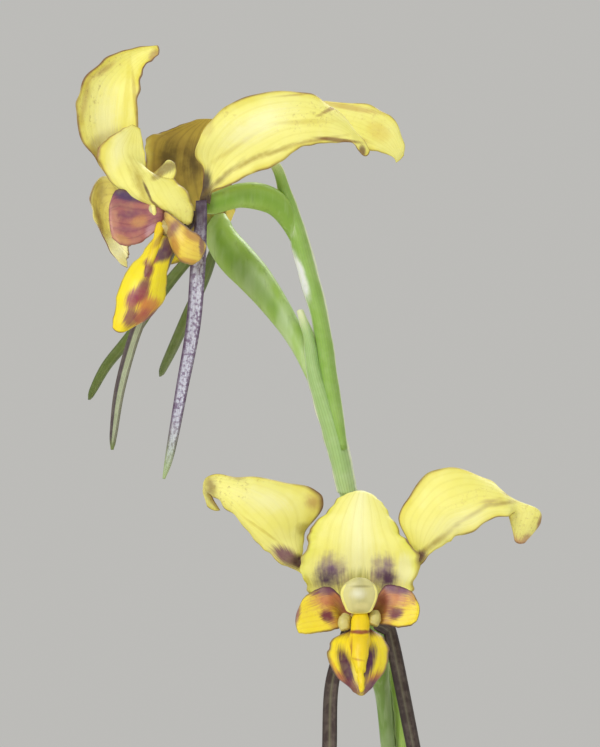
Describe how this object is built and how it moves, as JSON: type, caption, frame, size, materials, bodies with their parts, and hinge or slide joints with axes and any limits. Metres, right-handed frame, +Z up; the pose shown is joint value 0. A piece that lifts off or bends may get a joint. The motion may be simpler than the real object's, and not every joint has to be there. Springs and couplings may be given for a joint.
{
  "type": "potted orchid plant",
  "caption": "Potted donkey orchid: thin green stalk with yellow, eared flowers above long drooping sepals, narrow leaves at its foot, in soil in a plain terracotta pot; a tabletop plant.",
  "frame": {"origin": "centre of the pot's underside", "axes": "Z runs up the plant from the pot's foot, -Y is the side that the low flower faces, X completes the frame"},
  "size_m": [0.12, 0.12, 0.2842],
  "materials": {
    "terracotta": "unglazed, matt",
    "soil": "loose, dry, matt",
    "stem": "fleshy, faintly waxy",
    "bract": "thin, papery, pale margins",
    "leaf": "fleshy, channelled",
    "petal": "soft, faintly velvety",
    "sepal": "leathery",
    "lip": "soft, spotted",
    "column": "waxy"
  },
  "bodies": {
    "root": {"pot": "terracotta", "potting_mix": "soil", "flower_stem": "stem", "stem_sheath": "bract", "low_bract": "bract", "middle_bract": "bract", "top_bract": "bract", "leaf_1": "leaf", "leaf_2": "leaf", "leaf_3": "leaf", "low_column": "column", "low_labellum": "lip", "low_dorsal_sepal": "petal", "low_left_petal": "petal", "low_right_petal": "petal", "low_left_lateral_sepal": "sepal", "low_right_lateral_sepal": "sepal", "top_column": "column", "top_labellum": "lip", "top_dorsal_sepal": "petal", "top_left_petal": "petal", "top_right_petal": "petal", "top_left_lateral_sepal": "sepal", "top_right_lateral_sepal": "sepal", "back_column": "column", "back_labellum": "lip", "back_dorsal_sepal": "petal", "back_left_petal": "petal", "back_right_petal": "petal", "back_left_lateral_sepal": "sepal", "back_right_lateral_sepal": "sepal"}
  },
  "joints": []
}
